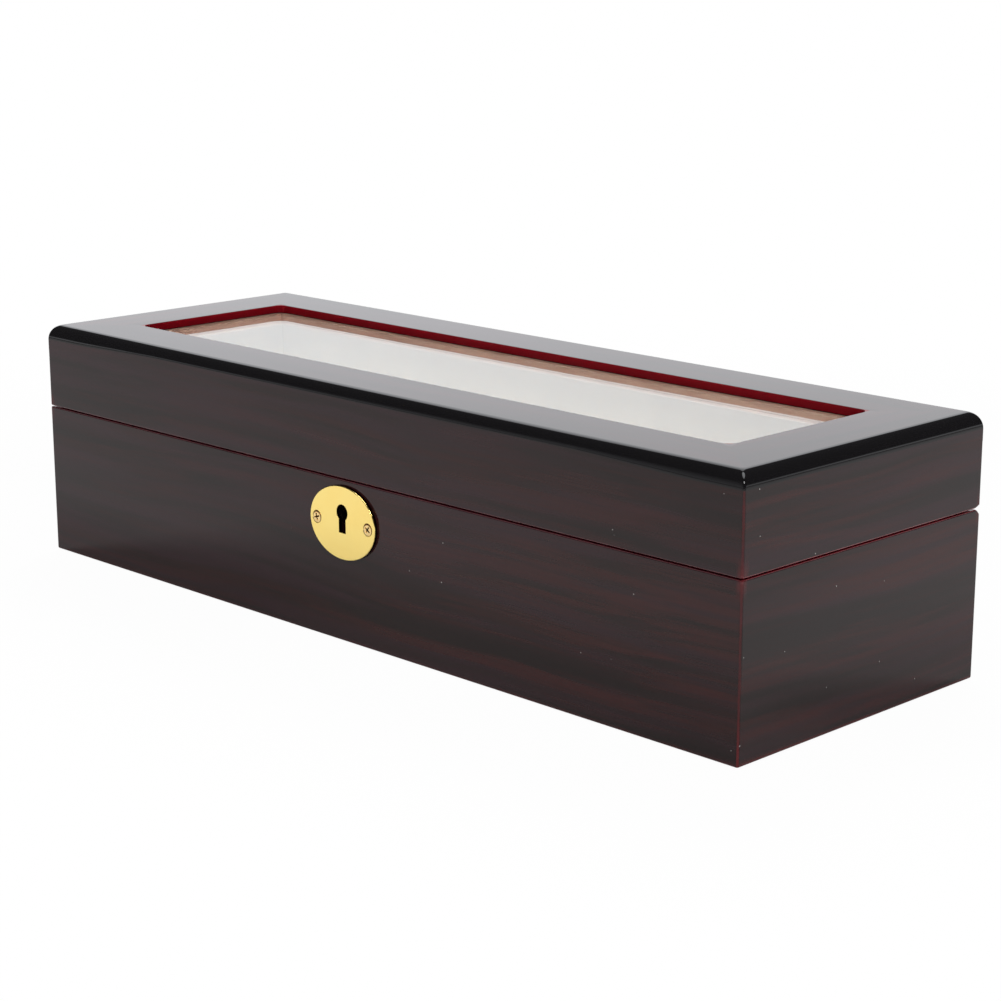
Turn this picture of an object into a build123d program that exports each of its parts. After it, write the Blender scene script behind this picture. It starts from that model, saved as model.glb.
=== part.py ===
from build123d import *
import os

# Glass-top lockable display box for six watches, in millimetres.
# X runs along the box, -Y is the front with the lock, +Z is up.
# The origin is under the middle of the whole envelope, escutcheon included.

# ---------------------------------------------------------------- overall box
box_length = 325.0
box_depth = 112.0
box_height = 84.0
rim_height = 54.1  # top of the base's walls
seam_gap = 0.4  # between the base's rim and the lid
corner_ease = 0.9  # radius of the upright corners
rim_arris = 0.5  # eased edges along the seam
foot_arris = 0.6

# ------------------------------------------------------------------- base
wall = 11.0
panel_thickness = 4.0
panel_bite = 5.0  # how far the bottom panel reaches into the walls
felt_thickness = 0.6
felt_inset = 2.0
base_bevel_depth = 2.2  # back of the base, under the seam
base_bevel_height = 2.2

# ------------------------------------------------------------------- lid
rail = 10.5
top_thickness = 9.0
top_round = 4.0  # rounded upper edge of the lid
window_end_margin = 25.0
window_side_margin = 23.5
window_corner = 3.5
window_lip = 3.0  # wood that covers the edge of the glass
lid_bevel_depth = 3.2  # back of the lid, over the seam
lid_bevel_height = 1.3
glass_thickness = 3.0
glass_bite = 5.0  # how far the glass reaches behind the lip
glass_clearance = 0.5

# ------------------------------------------------------- linings and cushions
lining = 1.5
floor_lining_thickness = 1.4
lip_height = 2.2  # how far the lining stands over the rim
lip_round = 0.6
lid_lining = 1.2
lid_lining_gap = 0.9  # between the base's lip and the lid's strips
place_count = 6
divider = 3.0
divider_height = 34.0
divider_round = 1.2
cushion_clearance = 0.3
cushion_end_gap = 1.5
cushion_height = 36.7
cushion_crown = 12.0
cushion_edge = 6.0

# ------------------------------------------------------------- escutcheon
plate_width = 31.0
plate_height = 24.1
plate_thickness = 1.2
plate_edge = 0.25
plate_drop = 13.8  # from the rim down to the plate's centre
plate_screw_spacing = 24.4
keyhole_rise = 3.4  # from the plate's centre up to the keyhole's round end
keyhole_round = 5.25
keyhole_slot = 3.3
keyhole_drop = 6.6  # from the round end's centre to the foot of the slot
keyhole_edge = 0.15
keyhole_clearance = 0.4  # wood and lock round the plate's keyhole

# --------------------------------------------------------------------- lock
lock_skin = 3.0  # wood left in front of the lock
lock_fit = 0.05
case_width = 36.4
case_depth = 7.2
case_height = 19.9
case_wall = 0.8
selvedge_length = 50.0
selvedge_width = 7.6
selvedge_thickness = 1.2
lock_screw_spacing = 43.0
lock_screw_length = 10.0
strike_length = 44.0
strike_width = 6.4
strike_thickness = 1.2
strike_screw_spacing = 35.0
strike_screw_length = 9.0
staple_spacing = 18.0
staple_thickness = 2.0  # along the bolt's travel
staple_width = 4.4
staple_drop = 6.9
staple_foot = 0.9  # bar under the eye
eye_width = 2.4
eye_height = 2.8
staple_clearance = 0.5
bolt_thickness = 1.4
bolt_travel = 4.5
bolt_bar_height = 1.9
bolt_bar_clearance = 0.4  # under the staples
bolt_half_length = 14.55
finger_height = 1.8
finger_length = 3.8
finger_gap = 1.0  # from the finger's tip to the staple, unlocked
post_width = 2.0
tail_width = 7.7
tail_drop = 6.8
talon_width = 1.2
talon_drop = 3.9
talon_gap = 7.6
stump_diameter = 1.6
stump_slot_clearance = 0.05
stump_drop = 3.6  # from the bar's foot to the stumps
drill_pin_diameter = 2.0
spring_thickness = 0.4
spring_width = 3.0
spring_length = 9.0
spring_rise = 4.2
spring_centre = -12.4

# ------------------------------------------------------------------- hinges
hinge_inset = 62.5  # from the end of the box to the middle of a hinge
hinge_length = 30.0
knuckle_count = 5
knuckle_gap = 0.2
barrel_radius = 1.8
hinge_pin_radius = 1.0
hinge_running = 0.05
leaf_width = 8.0  # from the pin's axis to the leaf's edge
leaf_thickness = 1.0
leaf_turn_clearance = 0.15  # leaf round the other leaf's knuckles
cove_clearance = 0.3  # wood round the barrel
hinge_screw_spacing = 18.0
hinge_screw_reach = 5.2  # from the pin's axis to the screws
hinge_screw_length = 8.0

# -------------------------------------------------------------------- screws
plate_screw_head = 4.3
plate_screw_shank = 2.2
plate_screw_length = 4.0
small_screw_head = 3.6
small_screw_shank = 1.8

# ------------------------------------------------------- places worked out
front = -(box_depth + plate_thickness) / 2 + plate_thickness
back = front + box_depth
middle = (front + back) / 2
lid_floor = rim_height + seam_gap
top_floor = box_height - top_thickness
glass_top = box_height - window_lip
glass_floor = glass_top - glass_thickness
floor_z = felt_thickness + panel_thickness
inside_z = floor_z + floor_lining_thickness
lip_top = rim_height + lip_height
inner_length = box_length - 2 * wall
inner_depth = box_depth - 2 * wall
well_length = inner_length - 2 * lining
well_depth = inner_depth - 2 * lining
lid_length = box_length - 2 * rail
lid_depth = box_depth - 2 * rail
window_length = box_length - 2 * window_end_margin
window_depth = box_depth - 2 * window_side_margin
rebate_length = window_length + 2 * (glass_bite + glass_clearance)
rebate_depth = window_depth + 2 * (glass_bite + glass_clearance)
plate_z = rim_height - plate_drop
key_z = plate_z + keyhole_rise
lock_y = front + lock_skin + case_depth / 2
case_top = rim_height - selvedge_thickness
case_floor = case_top - case_height
axis_y = back - barrel_radius
axis_z = rim_height + seam_gap / 2
barrel_cove = barrel_radius + cove_clearance
hinge_places = (-box_length / 2 + hinge_inset, box_length / 2 - hinge_inset)
knuckle = hinge_length / knuckle_count


def level(z):
    """Horizontal plane at height z, centred on the wooden box."""
    return Plane((0, middle, z))


def front_plane(depth, x=0.0, z=0.0):
    """Upright plane at a depth behind the front face; +X is right, +Y is up, out is forward."""
    return Plane((x, front + depth, z), x_dir=(1, 0, 0), z_dir=(0, -1, 0))


def end_plane(x):
    """Upright plane across the box at x; its X is the box's Y and its Y is up."""
    return Plane((x, 0, 0), x_dir=(0, 1, 0), z_dir=(1, 0, 0))


def save(piece, label):
    piece.label = label
    export_step(piece, "parts/" + label + ".step")


def turned_screw(head, shank, length):
    """Countersunk screw with its head's face on Z = 0 and its shank down -Z."""
    cone = (head - shank) / 2
    with BuildPart() as screw:
        with BuildSketch(Plane.XZ):
            with BuildLine():
                Polyline(
                    (0, 0),
                    (head / 2, 0),
                    (shank / 2, -cone),
                    (shank / 2, -length + shank / 2),
                    (0, -length),
                    close=True,
                )
            make_face()
        revolve(axis=Axis.Z)
    return screw.part


def keyhole(clearance):
    """Keyhole with its round end's centre at the sketch's origin."""
    with BuildSketch() as outline:
        Circle(keyhole_round / 2 + clearance)
        with Locations((0, -(keyhole_drop + clearance) / 2)):
            Rectangle(keyhole_slot + 2 * clearance, keyhole_drop + clearance)
    return outline.sketch


def mitred_quarter(side, length, depth, floor, top):
    """Wedge of the box's plan that holds one wall, cut at 45 degrees through its corners."""
    x, y = length / 2, depth / 2
    reach = min(x, y)
    corners = {
        "front": [(-x, -y), (x, -y), (x - reach, -y + reach), (-x + reach, -y + reach)],
        "back": [(x, y), (-x, y), (-x + reach, y - reach), (x - reach, y - reach)],
        "left": [(-x, y), (-x, -y), (-x + reach, -y + reach)],
        "right": [(x, -y), (x, y), (x - reach, -y + reach)],
    }
    with BuildPart() as wedge:
        with BuildSketch(level(floor)):
            with BuildLine():
                Polyline(*corners[side], close=True)
            make_face()
        extrude(amount=top - floor)
    return wedge.part


plate_screw = turned_screw(plate_screw_head, plate_screw_shank, plate_screw_length)
lock_screw = turned_screw(small_screw_head, small_screw_shank, lock_screw_length)
strike_screw = turned_screw(small_screw_head, small_screw_shank, strike_screw_length)
hinge_screw = turned_screw(small_screw_head, small_screw_shank, hinge_screw_length)

plate_screw_places = [
    front_plane(-plate_thickness, x, plate_z).location
    for x in (-plate_screw_spacing / 2, plate_screw_spacing / 2)
]
lock_screw_places = [
    Location((x, lock_y, rim_height))
    for x in (-lock_screw_spacing / 2, lock_screw_spacing / 2)
]
strike_screw_places = [
    Plane((x, lock_y, lid_floor), x_dir=(1, 0, 0), z_dir=(0, 0, -1)).location
    for x in (-strike_screw_spacing / 2, strike_screw_spacing / 2)
]
hinge_screw_x = [
    place + offset
    for place in hinge_places
    for offset in (-hinge_screw_spacing / 2, hinge_screw_spacing / 2)
]
hinge_screw_y = axis_y - hinge_screw_reach
base_hinge_screw_places = [Location((x, hinge_screw_y, rim_height)) for x in hinge_screw_x]
lid_hinge_screw_places = [
    Plane((x, hinge_screw_y, lid_floor), x_dir=(1, 0, 0), z_dir=(0, 0, -1)).location
    for x in hinge_screw_x
]

os.makedirs("parts", exist_ok=True)

# ------------------------------------------------------------- base walls
# The four walls share one ring: outer corners and arrises are eased on the whole,
# and each wall is the part of it between two mitres.
with BuildPart() as base_ring:
    with BuildSketch(level(felt_thickness)):
        RectangleRounded(box_length, box_depth, corner_ease)
    extrude(amount=rim_height - felt_thickness)
    fillet(base_ring.faces().sort_by(Axis.Z)[0].edges(), foot_arris)
    fillet(base_ring.faces().sort_by(Axis.Z)[-1].edges(), rim_arris)
    with BuildSketch(level(floor_z)):
        Rectangle(inner_length, inner_depth)
    extrude(amount=rim_height - floor_z, mode=Mode.SUBTRACT)
    with BuildSketch(level(felt_thickness)):
        Rectangle(inner_length + 2 * panel_bite, inner_depth + 2 * panel_bite)
    extrude(amount=panel_thickness, mode=Mode.SUBTRACT)
    with BuildSketch(end_plane(-box_length / 2)):
        with BuildLine():
            Polyline(
                (back - base_bevel_depth, rim_height),
                (back, rim_height - base_bevel_height),
                (back, rim_height),
                close=True,
            )
        make_face()
    extrude(amount=box_length, mode=Mode.SUBTRACT)

wedge_size = (box_length, box_depth, 0, rim_height)
with BuildPart() as base_front_wall:
    add(base_ring.part)
    add(mitred_quarter("front", *wedge_size), mode=Mode.INTERSECT)
    # mortise for the lock, open to the inside
    with BuildSketch(front_plane(wall, 0, (case_floor + case_top) / 2)):
        Rectangle(case_width + 2 * lock_fit, case_height)
    extrude(amount=wall - lock_skin, mode=Mode.SUBTRACT)
    # recess for the selvedge in the rim
    with BuildSketch(Plane((0, lock_y, rim_height))):
        Rectangle(selvedge_length, selvedge_width)
    extrude(amount=-selvedge_thickness, mode=Mode.SUBTRACT)
    wood_keyhole = keyhole(keyhole_clearance)
    with BuildSketch(front_plane(0, 0, key_z)):
        add(wood_keyhole)
    extrude(amount=-lock_skin, mode=Mode.SUBTRACT)
    with Locations(*plate_screw_places):
        add(plate_screw, mode=Mode.SUBTRACT)
    with Locations(*lock_screw_places):
        add(lock_screw, mode=Mode.SUBTRACT)
save(base_front_wall.part, "base_front_wall")

with BuildPart() as base_back_wall:
    add(base_ring.part)
    add(mitred_quarter("back", *wedge_size), mode=Mode.INTERSECT)
    for place in hinge_places:
        # recess for the leaf, then a cove round the barrel
        with BuildSketch(Plane((place, axis_y - leaf_width / 2, rim_height))):
            Rectangle(hinge_length, leaf_width)
        extrude(amount=-leaf_thickness, mode=Mode.SUBTRACT)
        with BuildSketch(end_plane(place)):
            with Locations((axis_y, axis_z)):
                Circle(barrel_cove)
        extrude(amount=hinge_length / 2 + cove_clearance, both=True, mode=Mode.SUBTRACT)
    with Locations(*base_hinge_screw_places):
        add(hinge_screw, mode=Mode.SUBTRACT)
save(base_back_wall.part, "base_back_wall")

for side in ("left", "right"):
    with BuildPart() as base_end_wall:
        add(base_ring.part)
        add(mitred_quarter(side, *wedge_size), mode=Mode.INTERSECT)
    save(base_end_wall.part, "base_" + side + "_wall")

# --------------------------------------------------- bottom, felt and linings
with BuildPart() as base_bottom_panel:
    with BuildSketch(level(felt_thickness)):
        Rectangle(inner_length + 2 * panel_bite, inner_depth + 2 * panel_bite)
    extrude(amount=panel_thickness)
save(base_bottom_panel.part, "base_bottom_panel")

with BuildPart() as base_felt:
    with BuildSketch(level(0)):
        Rectangle(box_length - 2 * felt_inset, box_depth - 2 * felt_inset)
    extrude(amount=felt_thickness)
save(base_felt.part, "base_felt")

with BuildPart() as floor_lining:
    with BuildSketch(level(floor_z)):
        Rectangle(inner_length, inner_depth)
    extrude(amount=floor_lining_thickness)
save(floor_lining.part, "floor_lining")

for side, sign in (("front", -1), ("back", 1)):
    with BuildPart() as long_lining:
        with BuildSketch(level(inside_z)):
            with Locations((0, sign * (inner_depth - lining) / 2)):
                Rectangle(inner_length, lining)
        extrude(amount=lip_top - inside_z)
        fillet(long_lining.faces().sort_by(Axis.Z)[-1].edges().filter_by(Axis.X), lip_round)
    save(long_lining.part, "lining_" + side)

for side, sign in (("left", -1), ("right", 1)):
    with BuildPart() as short_lining:
        with BuildSketch(level(inside_z)):
            with Locations((sign * (inner_length - lining) / 2, 0)):
                Rectangle(lining, well_depth)
        extrude(amount=lip_top - inside_z)
        fillet(short_lining.faces().sort_by(Axis.Z)[-1].edges().filter_by(Axis.Y), lip_round)
    save(short_lining.part, "lining_" + side)

# ------------------------------------------------------ dividers and cushions
place_length = (well_length - (place_count - 1) * divider) / place_count
place_pitch = place_length + divider
first_place = -well_length / 2 + place_length / 2

for number in range(1, place_count):
    with BuildPart() as divider_board:
        with BuildSketch(level(inside_z)):
            with Locations((first_place + (number - 0.5) * place_pitch, 0)):
                Rectangle(divider, well_depth)
        extrude(amount=divider_height)
        fillet(divider_board.faces().sort_by(Axis.Z)[-1].edges().filter_by(Axis.Y), divider_round)
    save(divider_board.part, "divider_" + str(number))

for number in range(place_count):
    with BuildPart() as cushion:
        with BuildSketch(level(inside_z + cushion_clearance)):
            with Locations((first_place + number * place_pitch, 0)):
                Rectangle(
                    place_length - 2 * cushion_clearance,
                    well_depth - 2 * cushion_end_gap,
                )
        extrude(amount=cushion_height)
        crown = cushion.faces().sort_by(Axis.Z)[-1]
        fillet(crown.edges().filter_by(Axis.X), cushion_crown)
        fillet(cushion.faces().filter_by(Axis.X).edges(), cushion_edge)
    save(cushion.part, "cushion_" + str(number + 1))

# ---------------------------------------------------------------- escutcheon
plate_keyhole = keyhole(0)
with BuildPart() as escutcheon:
    with BuildSketch(front_plane(0, 0, plate_z)):
        Ellipse(plate_width / 2, plate_height / 2)
    extrude(amount=plate_thickness)
    fillet(escutcheon.faces().sort_by(Axis.Y)[0].edges(), plate_edge)
    with BuildSketch(front_plane(0, 0, key_z)):
        add(plate_keyhole)
    extrude(amount=plate_thickness, mode=Mode.SUBTRACT)
    plate_face = escutcheon.faces().sort_by(Axis.Y)[0]
    fillet(plate_face.inner_wires()[0].edges(), keyhole_edge)
    with Locations(*plate_screw_places):
        add(plate_screw, mode=Mode.SUBTRACT)
save(escutcheon.part, "escutcheon")

with BuildPart() as escutcheon_screws:
    with Locations(*plate_screw_places):
        add(plate_screw)
save(escutcheon_screws.part, "escutcheon_screws")

# ---------------------------------------------------------------------- lock
staple_places = (-staple_spacing / 2, staple_spacing / 2)
staple_foot_z = lid_floor - staple_drop
bolt_bar_top = staple_foot_z - bolt_bar_clearance
bolt_bar_foot = bolt_bar_top - bolt_bar_height
stump_z = bolt_bar_foot - stump_drop
finger_z = staple_foot_z + staple_foot + eye_height / 2
case_back = lock_skin + case_depth
bolt_rest = -bolt_travel / 2
tail_x = bolt_half_length - tail_width / 2
stump_places = [(-tail_x, stump_z), (tail_x, stump_z)]

with BuildPart() as lock_case:
    with BuildSketch(front_plane(case_back, 0, (case_floor + case_top) / 2)):
        Rectangle(case_width, case_height)
    extrude(amount=case_depth - case_wall)
    # tray, open to the front, with the rim plate across its top
    with BuildSketch(front_plane(case_back - case_wall, 0, case_floor + case_wall)):
        Rectangle(
            case_width - 2 * case_wall,
            case_height - case_wall,
            align=(Align.CENTER, Align.MIN),
        )
    extrude(amount=case_depth - 2 * case_wall, mode=Mode.SUBTRACT)
    with BuildSketch(Plane((0, lock_y, case_top))):
        Rectangle(selvedge_length, selvedge_width)
        with Locations(*[(x, 0) for x in staple_places]):
            Rectangle(
                staple_thickness + 2 * staple_clearance,
                staple_width + 2 * staple_clearance,
                mode=Mode.SUBTRACT,
            )
    extrude(amount=selvedge_thickness)
    with BuildSketch(front_plane(case_back)):
        with Locations(*stump_places):
            Circle(stump_diameter / 2)
        with Locations((0, key_z)):
            Circle(drill_pin_diameter / 2)
    extrude(amount=case_wall, mode=Mode.SUBTRACT)
    with Locations(*lock_screw_places):
        add(lock_screw, mode=Mode.SUBTRACT)
save(lock_case.part, "lock_case")

case_keyhole = keyhole(keyhole_clearance)
with BuildPart() as lock_cap:
    with BuildSketch(front_plane(lock_skin + case_wall, 0, (case_floor + case_top) / 2)):
        Rectangle(case_width, case_height)
    extrude(amount=case_wall)
    with BuildSketch(front_plane(lock_skin + case_wall, 0, key_z)):
        add(case_keyhole)
    extrude(amount=case_wall, mode=Mode.SUBTRACT)
save(lock_cap.part, "lock_cap")

with BuildPart() as lock_rivets:
    with BuildSketch(front_plane(case_back)):
        with Locations(*stump_places):
            Circle(stump_diameter / 2)
    extrude(amount=case_depth - case_wall)
    with BuildSketch(front_plane(case_back)):
        with Locations((0, key_z)):
            Circle(drill_pin_diameter / 2)
    extrude(amount=case_depth)
save(lock_rivets.part, "lock_rivets")

with BuildPart() as bolt_spring:
    with BuildSketch(front_plane(lock_skin + (case_depth + spring_width) / 2)):
        with BuildLine():
            spring_foot = case_floor + case_wall
            left_end = (spring_centre - spring_length / 2, spring_foot)
            right_end = (spring_centre + spring_length / 2, spring_foot)
            outer = ThreePointArc(left_end, (spring_centre, spring_foot + spring_rise), right_end)
            Line(outer @ 1, (right_end[0] - spring_thickness, spring_foot))
            inner = ThreePointArc(
                (right_end[0] - spring_thickness, spring_foot),
                (spring_centre, spring_foot + spring_rise - spring_thickness),
                (left_end[0] + spring_thickness, spring_foot),
            )
            Line(inner @ 1, left_end)
        make_face()
    extrude(amount=spring_width)
save(bolt_spring.part, "bolt_spring")

with BuildPart() as lock_bolt:
    with BuildSketch(front_plane(lock_skin + (case_depth + bolt_thickness) / 2, bolt_rest)):
        with Locations((0, bolt_bar_foot)):
            Rectangle(2 * bolt_half_length, bolt_bar_height, align=(Align.CENTER, Align.MIN))
        for staple_x in staple_places:
            tip = staple_x - bolt_rest - staple_thickness / 2 - finger_gap
            # upright post, then the finger that enters the staple's eye
            with Locations((tip - finger_length, bolt_bar_top)):
                Rectangle(
                    post_width,
                    finger_z + finger_height / 2 - bolt_bar_top,
                    align=(Align.MAX, Align.MIN),
                )
            with Locations((tip, finger_z)):
                Rectangle(finger_length, finger_height, align=(Align.MAX, Align.CENTER))
        with Locations((-tail_x, bolt_bar_foot), (tail_x, bolt_bar_foot)):
            Rectangle(tail_width, tail_drop, align=(Align.CENTER, Align.MAX))
        talon_x = (talon_gap + talon_width) / 2
        with Locations((-talon_x, bolt_bar_foot), (talon_x, bolt_bar_foot)):
            Rectangle(talon_width, talon_drop, align=(Align.CENTER, Align.MAX))
        with Locations(*stump_places):
            SlotOverall(
                bolt_travel + stump_diameter + 2 * stump_slot_clearance,
                stump_diameter + 2 * stump_slot_clearance,
                mode=Mode.SUBTRACT,
            )
    extrude(amount=bolt_thickness)
save(lock_bolt.part, "lock_bolt")

with BuildPart() as lock_screws:
    with Locations(*lock_screw_places):
        add(lock_screw)
save(lock_screws.part, "lock_screws")

with BuildPart() as strike_plate:
    with BuildSketch(Plane((0, lock_y, lid_floor))):
        Rectangle(strike_length, strike_width)
    extrude(amount=strike_thickness)
    with BuildSketch(Plane((0, lock_y, staple_foot_z))):
        with Locations(*[(x, 0) for x in staple_places]):
            Rectangle(staple_thickness, staple_width)
    extrude(amount=staple_drop)
    with BuildSketch(end_plane(-strike_length / 2)):
        with Locations((lock_y, finger_z)):
            Rectangle(eye_width, eye_height)
    extrude(amount=strike_length, mode=Mode.SUBTRACT)
    with Locations(*strike_screw_places):
        add(strike_screw, mode=Mode.SUBTRACT)
save(strike_plate.part, "strike_plate")

with BuildPart() as strike_screws:
    with Locations(*strike_screw_places):
        add(strike_screw)
save(strike_screws.part, "strike_screws")

# -------------------------------------------------------------------- hinges
base_knuckles = range(0, knuckle_count, 2)
lid_knuckles = range(1, knuckle_count, 2)


def hinge_leaf(place, own_knuckles, floor, bore_radius, screws, screw_places):
    """Leaf let into the wood from a floor height, with its share of the knuckles on the barrel."""
    start = place - hinge_length / 2
    others = [number for number in range(knuckle_count) if number not in own_knuckles]
    with BuildPart() as leaf:
        with BuildSketch(Plane((place, axis_y - leaf_width / 2, floor))):
            Rectangle(hinge_length, leaf_width)
        extrude(amount=leaf_thickness)
        for number in others:
            with BuildSketch(end_plane(start + number * knuckle)):
                with Locations((axis_y, axis_z)):
                    Circle(barrel_radius + leaf_turn_clearance)
            extrude(amount=knuckle, mode=Mode.SUBTRACT)
        for number in own_knuckles:
            with BuildSketch(end_plane(start + number * knuckle + knuckle_gap / 2)):
                with Locations((axis_y, axis_z)):
                    Circle(barrel_radius)
            extrude(amount=knuckle - knuckle_gap)
        with BuildSketch(end_plane(start)):
            with Locations((axis_y, axis_z)):
                Circle(bore_radius)
        extrude(amount=hinge_length, mode=Mode.SUBTRACT)
        with Locations(*screw_places):
            add(screws, mode=Mode.SUBTRACT)
    return leaf.part


for side, place in zip(("left", "right"), hinge_places):
    base_leaf = hinge_leaf(
        place,
        base_knuckles,
        rim_height - leaf_thickness,
        hinge_pin_radius,
        hinge_screw,
        base_hinge_screw_places,
    )
    save(base_leaf, "hinge_" + side + "_base_leaf")
    lid_leaf = hinge_leaf(
        place,
        lid_knuckles,
        lid_floor,
        hinge_pin_radius + hinge_running,
        hinge_screw,
        lid_hinge_screw_places,
    )
    save(lid_leaf, "hinge_" + side + "_lid_leaf")
    with BuildPart() as hinge_pin:
        with BuildSketch(end_plane(place - hinge_length / 2)):
            with Locations((axis_y, axis_z)):
                Circle(hinge_pin_radius)
        extrude(amount=hinge_length)
    save(hinge_pin.part, "hinge_" + side + "_pin")

with BuildPart() as base_hinge_screws:
    with Locations(*base_hinge_screw_places):
        add(hinge_screw)
save(base_hinge_screws.part, "base_hinge_screws")

with BuildPart() as lid_hinge_screws:
    with Locations(*lid_hinge_screw_places):
        add(hinge_screw)
save(lid_hinge_screws.part, "lid_hinge_screws")

# ----------------------------------------------------------------- lid rails
with BuildPart() as lid_ring:
    with BuildSketch(level(lid_floor)):
        RectangleRounded(box_length, box_depth, corner_ease)
    extrude(amount=top_floor - lid_floor)
    fillet(lid_ring.faces().sort_by(Axis.Z)[0].edges(), rim_arris)
    with BuildSketch(level(lid_floor)):
        Rectangle(lid_length, lid_depth)
    extrude(amount=top_floor - lid_floor, mode=Mode.SUBTRACT)
    with BuildSketch(end_plane(-box_length / 2)):
        with BuildLine():
            Polyline(
                (back - lid_bevel_depth, lid_floor),
                (back, lid_floor + lid_bevel_height),
                (back, lid_floor),
                close=True,
            )
        make_face()
    extrude(amount=box_length, mode=Mode.SUBTRACT)

lid_wedge_size = (box_length, box_depth, lid_floor, top_floor)
with BuildPart() as lid_front_rail:
    add(lid_ring.part)
    add(mitred_quarter("front", *lid_wedge_size), mode=Mode.INTERSECT)
    with BuildSketch(Plane((0, lock_y, lid_floor))):
        Rectangle(strike_length, strike_width)
    extrude(amount=strike_thickness, mode=Mode.SUBTRACT)
    with Locations(*strike_screw_places):
        add(strike_screw, mode=Mode.SUBTRACT)
save(lid_front_rail.part, "lid_front_rail")

with BuildPart() as lid_back_rail:
    add(lid_ring.part)
    add(mitred_quarter("back", *lid_wedge_size), mode=Mode.INTERSECT)
    for place in hinge_places:
        with BuildSketch(Plane((place, axis_y - leaf_width / 2, lid_floor))):
            Rectangle(hinge_length, leaf_width)
        extrude(amount=leaf_thickness, mode=Mode.SUBTRACT)
        with BuildSketch(end_plane(place)):
            with Locations((axis_y, axis_z)):
                Circle(barrel_cove)
        extrude(amount=hinge_length / 2 + cove_clearance, both=True, mode=Mode.SUBTRACT)
    with Locations(*lid_hinge_screw_places):
        add(hinge_screw, mode=Mode.SUBTRACT)
save(lid_back_rail.part, "lid_back_rail")

for side in ("left", "right"):
    with BuildPart() as lid_end_rail:
        add(lid_ring.part)
        add(mitred_quarter(side, *lid_wedge_size), mode=Mode.INTERSECT)
    save(lid_end_rail.part, "lid_" + side + "_rail")

# ------------------------------------------------ top board, glass and beads
with BuildPart() as lid_top_frame:
    with BuildSketch(level(top_floor)):
        Rectangle(box_length, box_depth)
    extrude(amount=top_thickness)
    fillet(lid_top_frame.faces().sort_by(Axis.Z)[-1].edges(), top_round)
    with BuildSketch(level(top_floor)):
        RectangleRounded(box_length, box_depth, corner_ease)
    extrude(amount=top_thickness, mode=Mode.INTERSECT)
    with BuildSketch(level(top_floor)):
        RectangleRounded(window_length, window_depth, window_corner)
    extrude(amount=top_thickness, mode=Mode.SUBTRACT)
    with BuildSketch(level(top_floor)):
        Rectangle(rebate_length, rebate_depth)
    extrude(amount=glass_top - top_floor, mode=Mode.SUBTRACT)
save(lid_top_frame.part, "lid_top_frame")

with BuildPart() as glass_pane:
    with BuildSketch(level(glass_floor)):
        Rectangle(rebate_length - 2 * glass_clearance, rebate_depth - 2 * glass_clearance)
    extrude(amount=glass_thickness)
save(glass_pane.part, "glass_pane")

with BuildPart() as bead_ring:
    with BuildSketch(level(top_floor)):
        Rectangle(rebate_length, rebate_depth)
        Rectangle(window_length, window_depth, mode=Mode.SUBTRACT)
    extrude(amount=glass_floor - top_floor)

bead_wedge_size = (rebate_length, rebate_depth, top_floor, glass_floor)
bead_strips = [
    bead_ring.part & mitred_quarter(side, *bead_wedge_size)
    for side in ("front", "right", "back", "left")
]
save(Compound(children=bead_strips), "glass_beads")

# ----------------------------------------------------------- lid linings
strip_floor = lip_top + lid_lining_gap
strip_top = top_floor - lid_lining
for side, sign in (("front", -1), ("back", 1)):
    with BuildPart() as long_strip:
        with BuildSketch(level(strip_floor)):
            with Locations((0, sign * (lid_depth - lid_lining) / 2)):
                Rectangle(lid_length, lid_lining)
        extrude(amount=strip_top - strip_floor)
    save(long_strip.part, "lid_lining_" + side)

for side, sign in (("left", -1), ("right", 1)):
    with BuildPart() as short_strip:
        with BuildSketch(level(strip_floor)):
            with Locations((sign * (lid_length - lid_lining) / 2, 0)):
                Rectangle(lid_lining, lid_depth - 2 * lid_lining)
        extrude(amount=strip_top - strip_floor)
    save(short_strip.part, "lid_lining_" + side)

with BuildPart() as lid_lining_top:
    with BuildSketch(level(strip_top)):
        Rectangle(lid_length, lid_depth)
        Rectangle(window_length, window_depth, mode=Mode.SUBTRACT)
    extrude(amount=lid_lining)
save(lid_lining_top.part, "lid_lining_top")
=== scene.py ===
import math

import bmesh
import bpy
from mathutils import Matrix, Vector


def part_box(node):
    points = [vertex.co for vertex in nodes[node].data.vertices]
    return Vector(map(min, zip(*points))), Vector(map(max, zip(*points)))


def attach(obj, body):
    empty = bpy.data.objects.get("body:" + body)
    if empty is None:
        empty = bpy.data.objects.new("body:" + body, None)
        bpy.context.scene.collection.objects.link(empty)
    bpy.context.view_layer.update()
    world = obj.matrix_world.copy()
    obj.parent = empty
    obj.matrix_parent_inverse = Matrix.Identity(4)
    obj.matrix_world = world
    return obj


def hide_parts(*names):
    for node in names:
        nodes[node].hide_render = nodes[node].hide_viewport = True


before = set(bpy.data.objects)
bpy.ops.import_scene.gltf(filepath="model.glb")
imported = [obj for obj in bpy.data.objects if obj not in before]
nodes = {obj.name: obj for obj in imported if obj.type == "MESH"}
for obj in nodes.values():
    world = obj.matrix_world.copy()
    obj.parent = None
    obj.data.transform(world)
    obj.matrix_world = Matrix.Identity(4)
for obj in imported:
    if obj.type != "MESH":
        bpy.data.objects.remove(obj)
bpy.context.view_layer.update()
mm = 0.001
print("frame loaded:", len(nodes), "pieces")


def addNode(tree, kind, inputs=(), **settings):
    node = tree.nodes.new("ShaderNode" + kind)
    for name, value in settings.items():
        setattr(node, name, value)
    for key, value in dict(inputs).items():
        if isinstance(value, bpy.types.NodeSocket):
            tree.links.new(value, node.inputs[key])
        else:
            node.inputs[key].default_value = value
    return node


def newMaterial(name):
    material = bpy.data.materials.new(name)
    material.use_nodes = True
    tree = material.node_tree
    return material, tree, tree.nodes["Principled BSDF"]


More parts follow.
